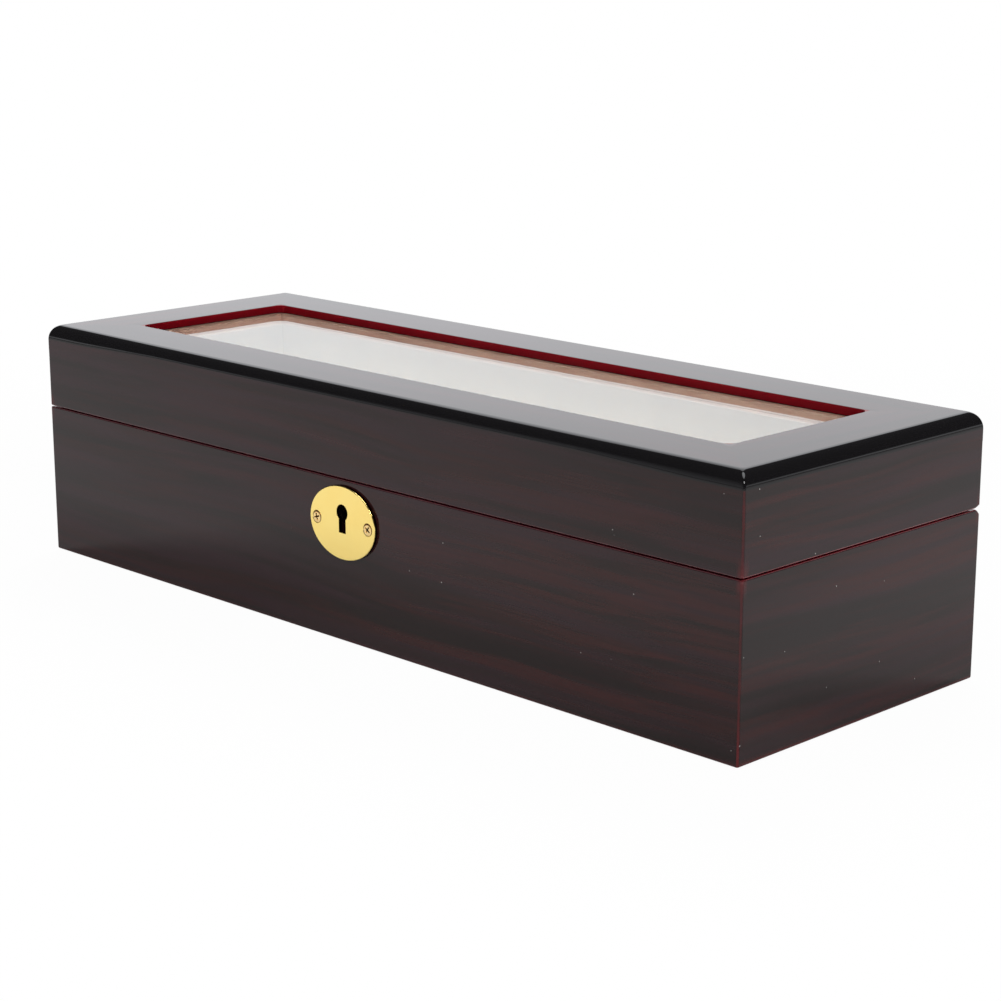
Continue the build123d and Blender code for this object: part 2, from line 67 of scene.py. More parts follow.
def setUniform(shader, values):
    for name, value in values.items():
        shader.inputs[name].default_value = value


def maths(tree, operation, a, b):
    return addNode(tree, "Math", {0: a, 1: b}, operation=operation).outputs[0]


def plus(tree, a, b):
    return maths(tree, "ADD", a, b)


def minus(tree, a, b):
    return maths(tree, "SUBTRACT", a, b)


def times(tree, a, b):
    return maths(tree, "MULTIPLY", a, b)


def greater(tree, a, b):
    return maths(tree, "MAXIMUM", a, b)


def positive(tree, value):
    return addNode(tree, "Math", {0: value}, operation="ABSOLUTE").outputs[0]


def scaled(tree, colour, factor):
    return addNode(tree, "VectorMath", {0: colour, 3: factor}, operation="SCALE").outputs[0]


def mapRange(tree, value, low, high, toLow=0.0, toHigh=1.0):
    inputs = {"Value": value, "From Min": low, "From Max": high, "To Min": toLow, "To Max": toHigh}
    return addNode(tree, "MapRange", inputs, interpolation_type="SMOOTHSTEP").outputs["Result"]


def mixColour(tree, factor, a, b):
    colours = {key: (*value, 1) if isinstance(value, tuple) else value for key, value in ((6, a), (7, b))}
    return addNode(tree, "Mix", {0: factor, **colours}, data_type="RGBA").outputs[2]


def colourRamp(tree, factor, stops):
    node = addNode(tree, "ValToRGB", {"Fac": factor})
    elements = node.color_ramp.elements
    while len(elements) < len(stops):
        elements.new(0.5)
    for element, (position, colour) in zip(elements, stops):
        element.position = position
        element.color = (*colour, 1.0)
    return node.outputs["Color"]


def inMillimetres(tree):
    coordinates = addNode(tree, "TexCoord")
    return addNode(tree, "VectorMath", {0: coordinates.outputs["Object"], 1: (1000, 1000, 1000)},
                   operation="MULTIPLY").outputs[0]


def split(tree, vector):
    return addNode(tree, "SeparateXYZ", {0: vector}).outputs


def stretched(tree, vector, scale, rotation=(0, 0, 0), location=(0, 0, 0)):
    inputs = {"Vector": vector, "Scale": scale, "Rotation": [math.radians(a) for a in rotation],
              "Location": location}
    return addNode(tree, "Mapping", inputs).outputs[0]


def noise(tree, vector, scale=1.0, detail=3.0, roughness=0.5):
    inputs = {"Vector": vector, "Scale": scale, "Detail": detail, "Roughness": roughness}
    return addNode(tree, "TexNoise", inputs).outputs["Fac"]


def bump(tree, height, distance, strength=1.0):
    inputs = {"Height": height, "Distance": distance * mm, "Strength": strength}
    return addNode(tree, "Bump", inputs).outputs[0]


woodLow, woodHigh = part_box("lid_top_frame")  # as long and deep as the whole wooden box
woodSize = woodHigh - woodLow
woodMiddle = (woodLow + woodHigh) / 2
plateLow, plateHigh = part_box("escutcheon")
plateMiddle = (plateLow + plateHigh) / 2

# lengths of pieces and finishes are in millimetres
# a range says where a change begins and ends, and then what it goes from and to
lidBoard = {
    "rounding": 4.0,                # quarter round along the lid's upper edge
    "taller": (1.32, 100, 145),     # times as tall towards the ends, and from where to where it grows
    "roundingSegments": 12,
    "corner": 0.8,                  # eased upright corners and mitres
    "windowCorner": 3.5,
    "windowArris": 0.3,
    "glassBite": 5.0,               # glass hidden behind the window's edge
}

veneer = {
    "dark": (0.0122, 0.0052, 0.0050),
    "violet": (0.0158, 0.0054, 0.0074),
    "streak": (0.0390, 0.0080, 0.0076),
    "pore": (0.0050, 0.0036, 0.0040),
    # red undercoat with a painted highlight mixed in, on the faces with the grain along x and along y; the
    # lid's lower arris gets a brighter painted highlight
    "undercoatAndHighlight": {"x": (0.120, 0.052, 0.058), "y": (0.170, 0.075, 0.082)},
    "lidUndercoatHighlight": {"x": (0.130, 0.055, 0.060), "y": (0.260, 0.080, 0.090)},
    # painted shade in the seam: darker red on its arrises, strongest on the front, and deep inside it
    "gapShade": {"x": (0.034, 0.003, 0.006), "y": (0.100, 0.004, 0.008)},
    "rim": (0.110, 0.004, 0.008),
    "worn": (0.095, 0.010, 0.012),
    "windowRed": (0.20, 0.003, 0.008),
    "rounding": (0.0060, 0.0055, 0.0062),
    "shadow": (0.003, 0.002, 0.002),
    "specular": (0.5, 0.12),        # of the outer faces, and of the window's walls
    "roughness": 0.05,
    "index": 1.355,
    "waves": (0.10, 0.012, 0.5),    # how fine, high and strong they are in the lacquer
}

window = {
    "half": (137.5, 32.5),
    "redEnds": (0.12, 0.06),        # past its edges
    # how bright the walls are at each height: painted shade growing downwards, and a thin dark line at the
    # glass
    "paintedShade": (84.2, 82.0, 1.0, 0.72),
    "darkest": (81.15, 81.5, 0.1, 1.0),
}

wear = {
    "patches": (0.035, 0.35, 0.65, 0.35, 1.0),  # how fine they are, and how much of an arris is worn
    "uneven": 0.10,
    "rubbed": (-0.04, -0.12),       # how far inside the outer faces the lacquer is rubbed through
    # depths of the painted shade in the seam, on its arrises and deep inside it
    "gapShade": (-0.12, -0.25),
    "rim": (-0.50, -0.70),
    "seam": 54.3,
    "arris": (0.9, 1.5),            # from the seam
    "lidFoot": ((54.3, 54.5), (55.0, 54.9)),    # heights between which it begins and ends
    "lidFootSpare": 0.06,           # more of it shows the rubbed red and its painted highlight
    "scuffs": (2.0, 1.0),           # heights between which the foot grows scuffed
    "scuffed": {"x": 0.3, "y": 0.75},
    "thumbed": {"corner": (4.6, 2.4), "seam": (7.0, 0.5), "uneven": 4.0, "strength": 0.6},
    "keyhole": (13.0, 11.0),        # from the plate's middle
}

wood = {
    # how fine the lines are along and across the grain, their detail, and where they are taken from
    "bands": (0.003, 0.09, 2.0, (0, 0, 0)),
    "streaks": (0.010, 0.42, 2.0, (7, 3, 5)),
    "hairs": (0.035, 1.3, 1.0, (2, 9, 4)),
    "tints": (0.006, 0.16, 2.0, (3, 1, 8)),
    "wander": (0.008, 14),          # how fine, and how far lines stray from the grain
    "shares": (0.42, 0.52, 0.06),   # of bands, streaks and hair lines in the figure
    "red": (0.44, 0.64),            # where in the figure red streaks begin and are full
    "violet": (0.36, 0.64),
    "shade": (0.10, 0.42, 0.72, 1.3),
    "pores": {"hairs": (0.56, 0.72), "streaks": (0.60, 0.40), "strength": 0.3},
    # how strong the red is, plainer towards the left and the top of the long faces, as the leaf was cut
    "long": {"x": (-170, 150, 0.46, 0.78), "z": (80, 20, 0.64, 1.0)},
    "short": {"bands": (0.35, 0.65, 0.46, 0.72), "z": (25, 60, 0.0, 0.2)},
}

dust = {
    "colour": (0.50, 0.48, 0.46),
    "cell": 6.5,
    "share": 0.40,                  # of the cells that hold a speck
    "radius": 0.31,
    "cover": 0.6,
    "below": (83.0, 82.0),          # none on the polished top
    "from": (-40, 50),              # from the middle to the right
}


def dustSpecks(tree, place):
    dots = addNode(tree, "TexVoronoi", {"Vector": place, "Scale": 1.0 / dust["cell"]})
    chance = addNode(tree, "SeparateColor", {0: dots.outputs["Color"]}).outputs[0]
    chosen = maths(tree, "GREATER_THAN", chance, 1.0 - dust["share"])
    radius = dust["radius"] / dust["cell"]
    return times(tree, chosen, mapRange(tree, dots.outputs["Distance"], radius, 0.4 * radius))


def woodLines(tree, place, grain, lean):  # bands, streaks, hair lines and tints along x or y
    fine, far = wood["wander"]
    stray = addNode(tree, "TexNoise", {"Vector": place, "Scale": fine, "Detail": 1.0}).outputs["Color"]
    pushed = addNode(tree, "VectorMath", {0: stray, 1: (0.5, 0.5, 0.5)}, operation="SUBTRACT").outputs[0]
    pushed = scaled(tree, pushed, far)
    wavy = addNode(tree, "VectorMath", {0: place, 1: pushed}, operation="ADD").outputs[0]
    turn = (0, lean, 0) if grain == "x" else (lean, 0, 0)
    found = []
    for kind in ("bands", "streaks", "hairs", "tints"):
        along, across, detail, location = wood[kind]
        scale = (along, across, across) if grain == "x" else (across, along, across)
        found.append(noise(tree, stretched(tree, wavy, scale, turn, location), 1.0, detail, 0.55))
    return found


def figuredColour(tree, at, grain, lean):
    bands, streaks, hairs, tints = woodLines(tree, at["place"], grain, lean)
    shares = [times(tree, *pair) for pair in zip((bands, streaks, hairs), wood["shares"])]
    figure = plus(tree, plus(tree, *shares[:2]), shares[2])
    ground = mixColour(tree, mapRange(tree, tints, *wood["violet"]), veneer["dark"], veneer["violet"])
    shade = mapRange(tree, minus(tree, tints, times(tree, streaks, 0.5)), *wood["shade"])
    if grain == "x":
        strength = times(tree, *(mapRange(tree, at[axis], *wood["long"][axis]) for axis in "xz"))
    else:
        strength = plus(tree, mapRange(tree, bands, *wood["short"]["bands"]),
                        mapRange(tree, at["z"], *wood["short"]["z"]))
    red = times(tree, mapRange(tree, figure, *wood["red"]), strength)
    colour = mixColour(tree, red, scaled(tree, ground, shade), veneer["streak"])
    pores = times(tree, mapRange(tree, hairs, *wood["pores"]["hairs"]),
                  mapRange(tree, streaks, *wood["pores"]["streaks"]))
    return mixColour(tree, times(tree, pores, wood["pores"]["strength"]), colour, veneer["pore"])


def placeOnBox(tree):  # where a point lies, and how far from the ends, the sides and the seam
    place = inMillimetres(tree)
    x, y, z = split(tree, place)
    offEnd = positive(tree, x)
    offSide = positive(tree, minus(tree, y, woodMiddle.y / mm))
    endDepth = minus(tree, offEnd, woodSize.x / 2 / mm)
    sideDepth = minus(tree, offSide, woodSize.y / 2 / mm)
    return {
        "place": place, "x": x, "z": z, "offEnd": offEnd, "offSide": offSide,
        "inside": greater(tree, endDepth, sideDepth),
        "corner": plus(tree, endDepth, sideDepth),
        "offSeam": positive(tree, minus(tree, z, wear["seam"])),
        "patchy": noise(tree, place, 0.12, 3.0),
    }


def onFootOfLid(tree, at):
    begins, ends = wear["lidFoot"]
    return times(tree, mapRange(tree, at["z"], *ends), mapRange(tree, at["z"], *begins))


def onRoundedEdge(tree, at):  # its foot comes lower towards the ends
    rounding = lidBoard["rounding"]
    taller, start, end = lidBoard["taller"]
    footHigh = woodHigh.z / mm - rounding
    foot = mapRange(tree, at["offEnd"], start, end, footHigh, footHigh - (taller - 1) * rounding)
    return mapRange(tree, minus(tree, at["z"], foot), -0.1, 0.4)


def rubbedThrough(tree, at, grain, colour):
    # the red undercoat shows wherever a surface lies inside the outer faces: arrises, rims and mouldings;
    # near the seam it carries a painted highlight
    footOfLid = onFootOfLid(tree, at)
    uneven = times(tree, minus(tree, at["patchy"], 0.5), wear["uneven"])
    depth = minus(tree, plus(tree, at["inside"], uneven), times(tree, footOfLid, wear["lidFootSpare"]))
    offArris = mapRange(tree, at["offSeam"], *wear["arris"])
    fine, *spread = wear["patches"]
    wornShare = mapRange(tree, noise(tree, at["place"], fine, 2.0), *spread)
    rubbed = times(tree, mapRange(tree, depth, *wear["rubbed"]),
                   greater(tree, minus(tree, 1.0, offArris), wornShare))
    # the rounding is coloured nearly black
    rounding = onRoundedEdge(tree, at)
    behind = lidBoard["rounding"]
    blackened = times(tree, rounding, mapRange(tree, at["inside"], -behind - 0.1, -behind + 0.4))
    colour = mixColour(tree, blackened, colour, veneer["rounding"])
    rubbed = times(tree, rubbed, minus(tree, 1.0, rounding))
    scuffed = times(tree, mapRange(tree, at["z"], *wear["scuffs"]), wornShare)
    rubbed = greater(tree, rubbed, times(tree, scuffed, wear["scuffed"][grain]))
    # the lid's lower arris gets a brighter painted highlight
    undercoatAndHighlight = mixColour(tree, footOfLid, veneer["undercoatAndHighlight"][grain], veneer["lidUndercoatHighlight"][grain])
    # painted shade in the seam's gap and deeper inside it
    inGap, inRim = (mapRange(tree, at["inside"], *wear[name]) for name in ("gapShade", "rim"))
    undercoatAndHighlight = mixColour(tree, inGap, undercoatAndHighlight, veneer["gapShade"][grain])
    undercoatAndHighlight = mixColour(tree, inRim, undercoatAndHighlight, veneer["rim"])
    undercoatAndHighlight = mixColour(tree, offArris, undercoatAndHighlight, veneer["worn"])
    return mixColour(tree, rubbed, colour, undercoatAndHighlight), rubbed


def handled(tree, at, rubbed, colour):
    # handling has thinned the lacquer where the corners meet the seam
    thumbed = wear["thumbed"]
    fromCorner = minus(tree, times(tree, at["patchy"], thumbed["uneven"]), at["corner"])
    thinned = times(tree, mapRange(tree, fromCorner, *thumbed["corner"]),
                    mapRange(tree, at["offSeam"], *thumbed["seam"]))
    colour = mixColour(tree, times(tree, thinned, thumbed["strength"]), colour, veneer["worn"])
    # bare wood inside the keyhole is in deep shade
    fromPlate = addNode(tree, "VectorMath", {0: at["place"], 1: [v / mm for v in plateMiddle]},
                        operation="DISTANCE").outputs["Value"]
    inKeyhole = times(tree, rubbed, mapRange(tree, fromPlate, *wear["keyhole"]))
    return mixColour(tree, inKeyhole, colour, veneer["shadow"])


def redWindow(tree, at, colour):  # its walls, with painted shade deepening towards the glass
    halfX, halfY = window["half"]
    past = greater(tree, minus(tree, at["offEnd"], halfX), minus(tree, at["offSide"], halfY))
    wall = mapRange(tree, past, *window["redEnds"])
    shade = times(tree, *(mapRange(tree, at["z"], *window[name]) for name in ("paintedShade", "darkest")))
    return mixColour(tree, wall, colour, scaled(tree, veneer["windowRed"], shade)), wall


def dusted(tree, at, grain, colour):
    flat = stretched(tree, at["place"], (1, 0, 1) if grain == "x" else (0, 1, 1))
    specks = times(tree, dustSpecks(tree, flat), mapRange(tree, at["z"], *dust["below"]))
    specks = times(tree, specks, mapRange(tree, at["x"], *dust["from"]))
    return mixColour(tree, times(tree, specks, dust["cover"]), colour, dust["colour"])


def lacqueredVeneer(name, grain, lean):
    material, tree, shader = newMaterial(name)
    at = placeOnBox(tree)
    colour = figuredColour(tree, at, grain, lean)
    colour, rubbed = rubbedThrough(tree, at, grain, colour)
    colour = handled(tree, at, rubbed, colour)
    colour, windowWall = redWindow(tree, at, colour)
    tree.links.new(dusted(tree, at, grain, colour), shader.inputs["Base Color"])
    specular = mapRange(tree, windowWall, 0.0, 1.0, *veneer["specular"])
    tree.links.new(specular, shader.inputs["Specular IOR Level"])
    fine, high, strength = veneer["waves"]
    waves = bump(tree, noise(tree, at["place"], fine, 1.0), high, strength)
    tree.links.new(waves, shader.inputs["Normal"])
    setUniform(shader, {"Roughness": veneer["roughness"], "IOR": veneer["index"]})
    return material


velvets = {
    "velvet": {"deep": (0.60, 0.475, 0.385), "pale": (0.75, 0.61, 0.50)},
    "rimVelvet": {"deep": (0.74, 0.49, 0.395), "pale": (0.90, 0.625, 0.515),
                  "shadedBelow": (76.0, 75.6, 1.0, 0.78)},     # heights, and how bright the painted shade leaves it there
    "cushionVelvet": {"deep": (0.440, 0.350, 0.285), "pale": (0.555, 0.450, 0.375)},
}


def velvet(name):
    cloth = velvets[name]
    material, tree, shader = newMaterial(name)
    place = inMillimetres(tree)
    nap = noise(tree, place, 0.06, 3.0, 0.6)
    pile = noise(tree, place, 4.0, 2.0, 0.7)
    uneven = plus(tree, times(tree, nap, 0.6), times(tree, pile, 0.4))
    colour = colourRamp(tree, uneven, [(0.3, cloth["deep"]), (0.7, cloth["pale"])])
    if "shadedBelow" in cloth:  # painted shade along the lower rim of the window
        colour = scaled(tree, colour, mapRange(tree, split(tree, place)[2], *cloth["shadedBelow"]))
    tree.links.new(colour, shader.inputs["Base Color"])
    tree.links.new(bump(tree, pile, 0.25, 0.6), shader.inputs["Normal"])
    setUniform(shader, {"Roughness": 0.85, "Sheen Weight": 0.35, "Sheen Roughness": 0.4,
                        "Specular IOR Level": 0.15})
    return material


brasses = {
    "brass": {"deep": (0.98, 0.76, 0.25), "pale": (1.0, 0.79, 0.28), "roughness": 0.14},
    "plateBrass": {"deep": (1.0, 0.745, 0.235), "pale": (1.0, 0.775, 0.262), "roughness": 0.17,
                   # its rim colour is painted shade and a painted dark reflection
                   "rim": (0.05, 0.025, 0.010), "rimDepth": (0.25, 0.50)},
    "screwBrass": {"deep": (0.94, 0.64, 0.27), "pale": (1.0, 0.75, 0.35), "roughness": 0.26,
                   # painted shade round the heads and where they sink behind the plate
                   "ring": (0.11, 0.042, 0.008), "ringRadius": (1.60, 1.90), "ringLow": 0.22,
                   "sunkShade": (0.09, 0.036, 0.008), "sunkDepth": (0.05, 0.45)},
}


def brass(name):
    metal = brasses[name]
    material, tree, shader = newMaterial(name)
    place = inMillimetres(tree)
    x, y, z = split(tree, place)
    brushed = noise(tree, stretched(tree, place, (0.6, 8, 8)), 1.0, 3.0)
    tarnish = noise(tree, place, 0.12, 3.0)
    colour = colourRamp(tree, tarnish, [(0.3, metal["deep"]), (0.7, metal["pale"])])

    def behindFace(depths):
        return mapRange(tree, y, *(plateLow.y / mm + depth for depth in depths))

    if "rim" in metal:  # its rim is painted dark: painted shade and a painted dark reflection
        colour = mixColour(tree, behindFace(metal["rimDepth"]), colour, metal["rim"])
    if "ring" in metal:  # painted shade: a dark ring round the heads, wider above, and darker where they sink behind the face
        low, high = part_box("escutcheon_screws")
        seatX = (high.x - (high.z - low.z) / 2) / mm
        seatZ = (low.z + high.z) / 2 / mm - metal["ringLow"]
        offSeat = addNode(tree, "CombineXYZ", {0: minus(tree, positive(tree, x), seatX),
                                               2: minus(tree, z, seatZ)}).outputs[0]
        reach = addNode(tree, "VectorMath", {0: offSeat}, operation="LENGTH").outputs["Value"]
        colour = mixColour(tree, mapRange(tree, reach, *metal["ringRadius"]), colour, metal["ring"])
        colour = mixColour(tree, behindFace(metal["sunkDepth"]), colour, metal["sunkShade"])
    tree.links.new(colour, shader.inputs["Base Color"])
    roughness = mapRange(tree, brushed, 0.2, 0.8, 0.7 * metal["roughness"], 1.3 * metal["roughness"])
    tree.links.new(roughness, shader.inputs["Roughness"])
    setUniform(shader, {"Metallic": 1.0})
    return material


def steel():
    material, tree, shader = newMaterial("steel")
    place = inMillimetres(tree)
    drawn = noise(tree, stretched(tree, place, (0.4, 6, 6)), 1.0, 3.0)
    colour = colourRamp(tree, drawn, [(0.3, (0.50, 0.50, 0.50)), (0.7, (0.62, 0.62, 0.61))])
    tree.links.new(colour, shader.inputs["Base Color"])
    tree.links.new(mapRange(tree, drawn, 0.2, 0.8, 0.25, 0.4), shader.inputs["Roughness"])
    setUniform(shader, {"Metallic": 1.0})
    return material


def clearGlass():
    material, tree, shader = newMaterial("clearGlass")
    setUniform(shader, {"Base Color": (0.91, 0.98, 0.95, 1), "Roughness": 0.0, "IOR": 1.42,
                        "Specular IOR Level": 0.35, "Transmission Weight": 1.0})
    letThrough = addNode(tree, "BsdfTransparent", {"Color": (0.96, 0.97, 0.96, 1)})
    path = addNode(tree, "LightPath")
    mixed = addNode(tree, "MixShader", {0: path.outputs["Is Shadow Ray"], 1: shader.outputs[0],
                                        2: letThrough.outputs[0]})
    tree.links.new(mixed.outputs[0], tree.nodes["Material Output"].inputs["Surface"])
    return material


def fibreBoard():
    material, tree, shader = newMaterial("fibreBoard")
    fibres = noise(tree, inMillimetres(tree), 1.5, 5.0, 0.7)
    colour = colourRamp(tree, fibres, [(0.3, (0.20, 0.13, 0.07)), (0.7, (0.30, 0.20, 0.12))])
    tree.links.new(colour, shader.inputs["Base Color"])
    setUniform(shader, {"Roughness": 0.8})
    return material


def blackFelt():
    material, tree, shader = newMaterial("blackFelt")
    fibres = noise(tree, inMillimetres(tree), 3.0, 4.0, 0.7)
    colour = colourRamp(tree, fibres, [(0.3, (0.010, 0.010, 0.010)), (0.7, (0.03, 0.03, 0.03))])
    tree.links.new(colour, shader.inputs["Base Color"])
    tree.links.new(bump(tree, fibres, 0.2), shader.inputs["Normal"])
    setUniform(shader, {"Roughness": 0.95, "Sheen Weight": 0.3})
    return material


finishes = {
    "veneerLong": lacqueredVeneer("veneerLong", "x", 3.0),
    "veneerShort": lacqueredVeneer("veneerShort", "y", 5.0),
    **{name: velvet(name) for name in velvets},
    **{name: brass(name) for name in brasses},
    "steel": steel(),
    "glass": clearGlass(),
    "board": fibreBoard(),
    "felt": blackFelt(),
}

slotFinish = {
    "lacquered_wood": "veneerLong",
    "panel_wood": "board",
    "glass": "glass",
    "brass": "brass",
    "steel": "steel",
    "velvet": "velvet",
    "cushion_velvet": "cushionVelvet",
    "felt": "felt",
}
for name, node in nodes.items():
    for materialSlot in node.material_slots:
        finish = slotFinish[materialSlot.material.name]
        if finish == "veneerLong" and ("left" in name or "right" in name):
            finish = "veneerShort"
        if name == "escutcheon":
            finish = "plateBrass"
        materialSlot.material = finishes[finish]
print("finishes made:", len(finishes))


def meshFrom(bm, name):
    mesh = bpy.data.meshes.new(name)
    bm.to_mesh(mesh)
    bm.free()
    return mesh


def newObject(name, data):
    made = bpy.data.objects.new(name, data)
    bpy.context.scene.collection.objects.link(made)
    return made


def meshOf(holder):  # with its modifiers applied
    evaluated = holder.evaluated_get(bpy.context.evaluated_depsgraph_get())
    return bpy.data.meshes.new_from_object(evaluated)


def newPiece(name, bm, finish, body, replaced=(), smoothAngle=30):
    bmesh.ops.remove_doubles(bm, verts=bm.verts, dist=0.001 * mm)
    bmesh.ops.recalc_face_normals(bm, faces=bm.faces)
    mesh = meshFrom(bm, name)
    for polygon in mesh.polygons:
        polygon.use_smooth = True
    mesh.set_sharp_from_angle(angle=math.radians(smoothAngle))
    mesh.materials.append(finishes[finish])
    piece = newObject(name, mesh)
    weighted = piece.modifiers.new("weighted", "WEIGHTED_NORMAL")
    weighted.keep_sharp = True
    weighted.weight = 100
    if replaced:
        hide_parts(*replaced)
    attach(piece, body)
    return piece


def block(bm, size, middle=(0, 0, 0)):
    verts = bmesh.ops.create_cube(bm, size=1.0)["verts"]
    bmesh.ops.scale(bm, verts=verts, vec=size)
    bmesh.ops.translate(bm, verts=verts, vec=middle)
    return verts


def rounded(bm, edges, radius, segments, **settings):
    bmesh.ops.bevel(bm, geom=edges, offset=radius, affect="EDGES", segments=segments, profile=0.5,
                    material=-1, **settings)


def cutAcross(bm, place, facing):
    everything = bm.verts[:] + bm.edges[:] + bm.faces[:]
    return bmesh.ops.bisect_plane(bm, geom=everything, dist=1e-7, plane_co=place,
                                  plane_no=facing)["geom_cut"]


def near(a, b, tolerance=0.001 * mm):
    return abs(a - b) < tolerance


def rectangleLoop(bm, low, high, z):
    loop = bmesh.ops.create_circle(bm, segments=4, radius=math.sqrt(0.5), cap_ends=False)["verts"]
    bmesh.ops.rotate(bm, verts=loop, cent=(0, 0, 0), matrix=Matrix.Rotation(math.radians(45), 3, "Z"))
    bmesh.ops.scale(bm, verts=loop, vec=(high.x - low.x, high.y - low.y, 1))
    bmesh.ops.translate(bm, verts=loop, vec=((low.x + high.x) / 2, (low.y + high.y) / 2, z))
    return list({edge for vert in loop for edge in vert.link_edges})


def squareFrame(rectangles):  # low corner, high corner and height of each, in order round the section
    bm = bmesh.new()
    loops = [rectangleLoop(bm, *rectangle) for rectangle in rectangles]
    for first, second in zip(loops, loops[1:] + loops[:1]):
        bmesh.ops.bridge_loops(bm, edges=first + second)
    bmesh.ops.recalc_face_normals(bm, faces=bm.faces)
    return bm


def windowCorners():
    glassLow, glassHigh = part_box("glass_pane")
    bite = Vector((1, 1, 0)) * lidBoard["glassBite"] * mm
    return glassLow + bite, glassHigh - bite


def tallerTowardsEnds(bm, top, onOutside):
    taller, start, end = lidBoard["taller"]
    for cut in (start, (start + end) / 2, end):
        for side in (-1, 1):
            cutAcross(bm, (side * cut * mm, 0, 0), (1, 0, 0))
    for vert in bm.verts:
        if vert.co.z > top - (lidBoard["rounding"] + 0.001) * mm and onOutside(vert.co):
            share = min(1, max(0, (abs(vert.co.x) / mm - start) / (end - start)))
            share = share * share * (3 - 2 * share)
            vert.co.z = top - (top - vert.co.z) * (1 + (taller - 1) * share)


def makeLidBoard():
    windowLow, windowHigh = windowCorners()
    beadLow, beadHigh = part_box("glass_beads")
    rounding = lidBoard["rounding"] * mm
    top = woodHigh.z
    bm = squareFrame([
        (woodLow, woodHigh, woodLow.z),
        (woodLow, woodHigh, top),
        (windowLow, windowHigh, top),
        (windowLow, windowHigh, windowHigh.z),
        (beadLow, beadHigh, windowHigh.z),
        (beadLow, beadHigh, woodLow.z),
    ])

    def atWindowCorner(point):
        half = (windowHigh - windowLow) / 2
        return (near(abs(point.x), half.x, 0.01 * mm)
                and near(abs(point.y - woodMiddle.y), half.y, 0.01 * mm))

    def inWindow(point, spare=0.001 * mm):
        return abs(point.x) < windowHigh.x + spare and windowLow.y - spare < point.y < windowHigh.y + spare

    def depths(point):  # behind the nearer end and the nearer side
        return woodHigh.x - abs(point.x), min(point.y - woodLow.y, woodHigh.y - point.y)

    def edgesWhere(wanted):
        return [edge for edge in bm.edges if all(wanted(vert.co) for vert in edge.verts)]

    uprights = [edge for edge in edgesWhere(atWindowCorner)
                if not near(edge.verts[0].co.z, edge.verts[1].co.z, 0.01 * mm)]
    rounded(bm, uprights, lidBoard["windowCorner"] * mm, 8)
    rounded(bm, edgesWhere(lambda point: near(point.z, top) and inWindow(point)),
            lidBoard["windowArris"] * mm, 2)
    rounded(bm, edgesWhere(lambda point: near(point.z, top) and near(min(depths(point)), 0)),
            rounding, lidBoard["roundingSegments"])
    tallerTowardsEnds(bm, top, lambda point: not inWindow(point, 0.1 * mm))
    # the mitres and upright corners lie in the planes where both faces are equally near
    mitres = [edge for edge in edgesWhere(lambda point: near(*depths(point), 0.02 * mm)
                                          and depths(point)[0] < rounding)
              if len(edge.link_faces) == 2 and edge.calc_face_angle(0) > math.radians(5)
              and edge.calc_length() < 2 * rounding]
    rounded(bm, mitres, lidBoard["corner"] * mm, 4, clamp_overlap=True)
    board = newPiece("lidTopBoard", bm, "veneerLong", "lid", ["lid_top_frame"])
    board.data.materials.append(finishes["veneerShort"])
    for polygon in board.data.polygons:
        behindEnd, behindSide = depths(polygon.center)
        polygon.material_index = int(behindEnd < behindSide)


makeLidBoard()
print("lid board made")


screws = {
    "plate": {"node": "escutcheon_screws", "body": "base", "finish": "screwBrass",
              "head": 4.3, "facing": (0, -1, 0)},
    "baseHinge": {"node": "base_hinge_screws", "body": "base", "finish": "brass",
                  "head": 3.6, "facing": (0, 0, 1), "pairs": 18.0},      # apart in each leaf
    "lidHinge": {"node": "lid_hinge_screws", "body": "lid", "finish": "brass",
                 "head": 3.6, "facing": (0, 0, -1), "pairs": 18.0},
    "lock": {"node": "lock_screws", "body": "base", "finish": "brass",
             "head": 3.6, "facing": (0, 0, 1)},
    "strike": {"node": "strike_screws", "body": "lid", "finish": "brass",
               "head": 3.6, "facing": (0, 0, -1)},
}
screwShape = {
    "crown": 0.12,                  # how far the middle of the head is raised
    "dome": ((0.55, 0.7), (0.90, 0)),   # of the radius and of the crown, where it bends and ends
    "rim": 0.14,                    # of the radius, above the cone
    "shank": 0.5,                   # of the radius
    "recess": (0.60, 0.13, 0.32),   # length, width and depth of each slot, of the head's width
    "recessTaper": 0.45,
    "twist": (17, 38),              # degrees, of the first one and on from each to the next
}


def screwBlank(head, length):
    radius = head / 2 * mm
    shank = screwShape["shank"] * radius
    crown = screwShape["crown"] * mm
    rim = screwShape["rim"] * radius
    dome = [(out * radius, high * crown) for out, high in screwShape["dome"]]
    profile = [(0, crown), *dome, (radius, -rim), (shank, -rim - (radius - shank)),
               (shank, -length + shank), (0, -length)]
    bm = bmesh.new()
    verts = [bm.verts.new((x, 0, z)) for x, z in profile]
    edges = [bm.edges.new(pair) for pair in zip(verts, verts[1:])]
    bmesh.ops.spin(bm, geom=verts + edges, cent=(0, 0, 0), axis=(0, 0, 1), angle=math.tau, steps=32,
                   use_merge=True)
    bmesh.ops.remove_doubles(bm, verts=bm.verts, dist=0.002 * mm)
    bmesh.ops.recalc_face_normals(bm, faces=bm.faces)
    return newObject("screwBlank", meshFrom(bm, "screwBlank"))


def crossRecess(head):
    length, width, depth = (share * head * mm for share in screwShape["recess"])
    crown = screwShape["crown"] * mm
    bm = bmesh.new()
    for size in ((length, width, depth), (width, length, depth)):
        bar = block(bm, size, (0, 0, 1.5 * crown - depth / 2))
        lowest = [vert for vert in bar if vert.co.z < crown - depth / 2]
        taper = screwShape["recessTaper"]
        bmesh.ops.scale(bm, verts=lowest, vec=(taper, taper, 1))
    return newObject("recessCutter", meshFrom(bm, "recessCutter"))


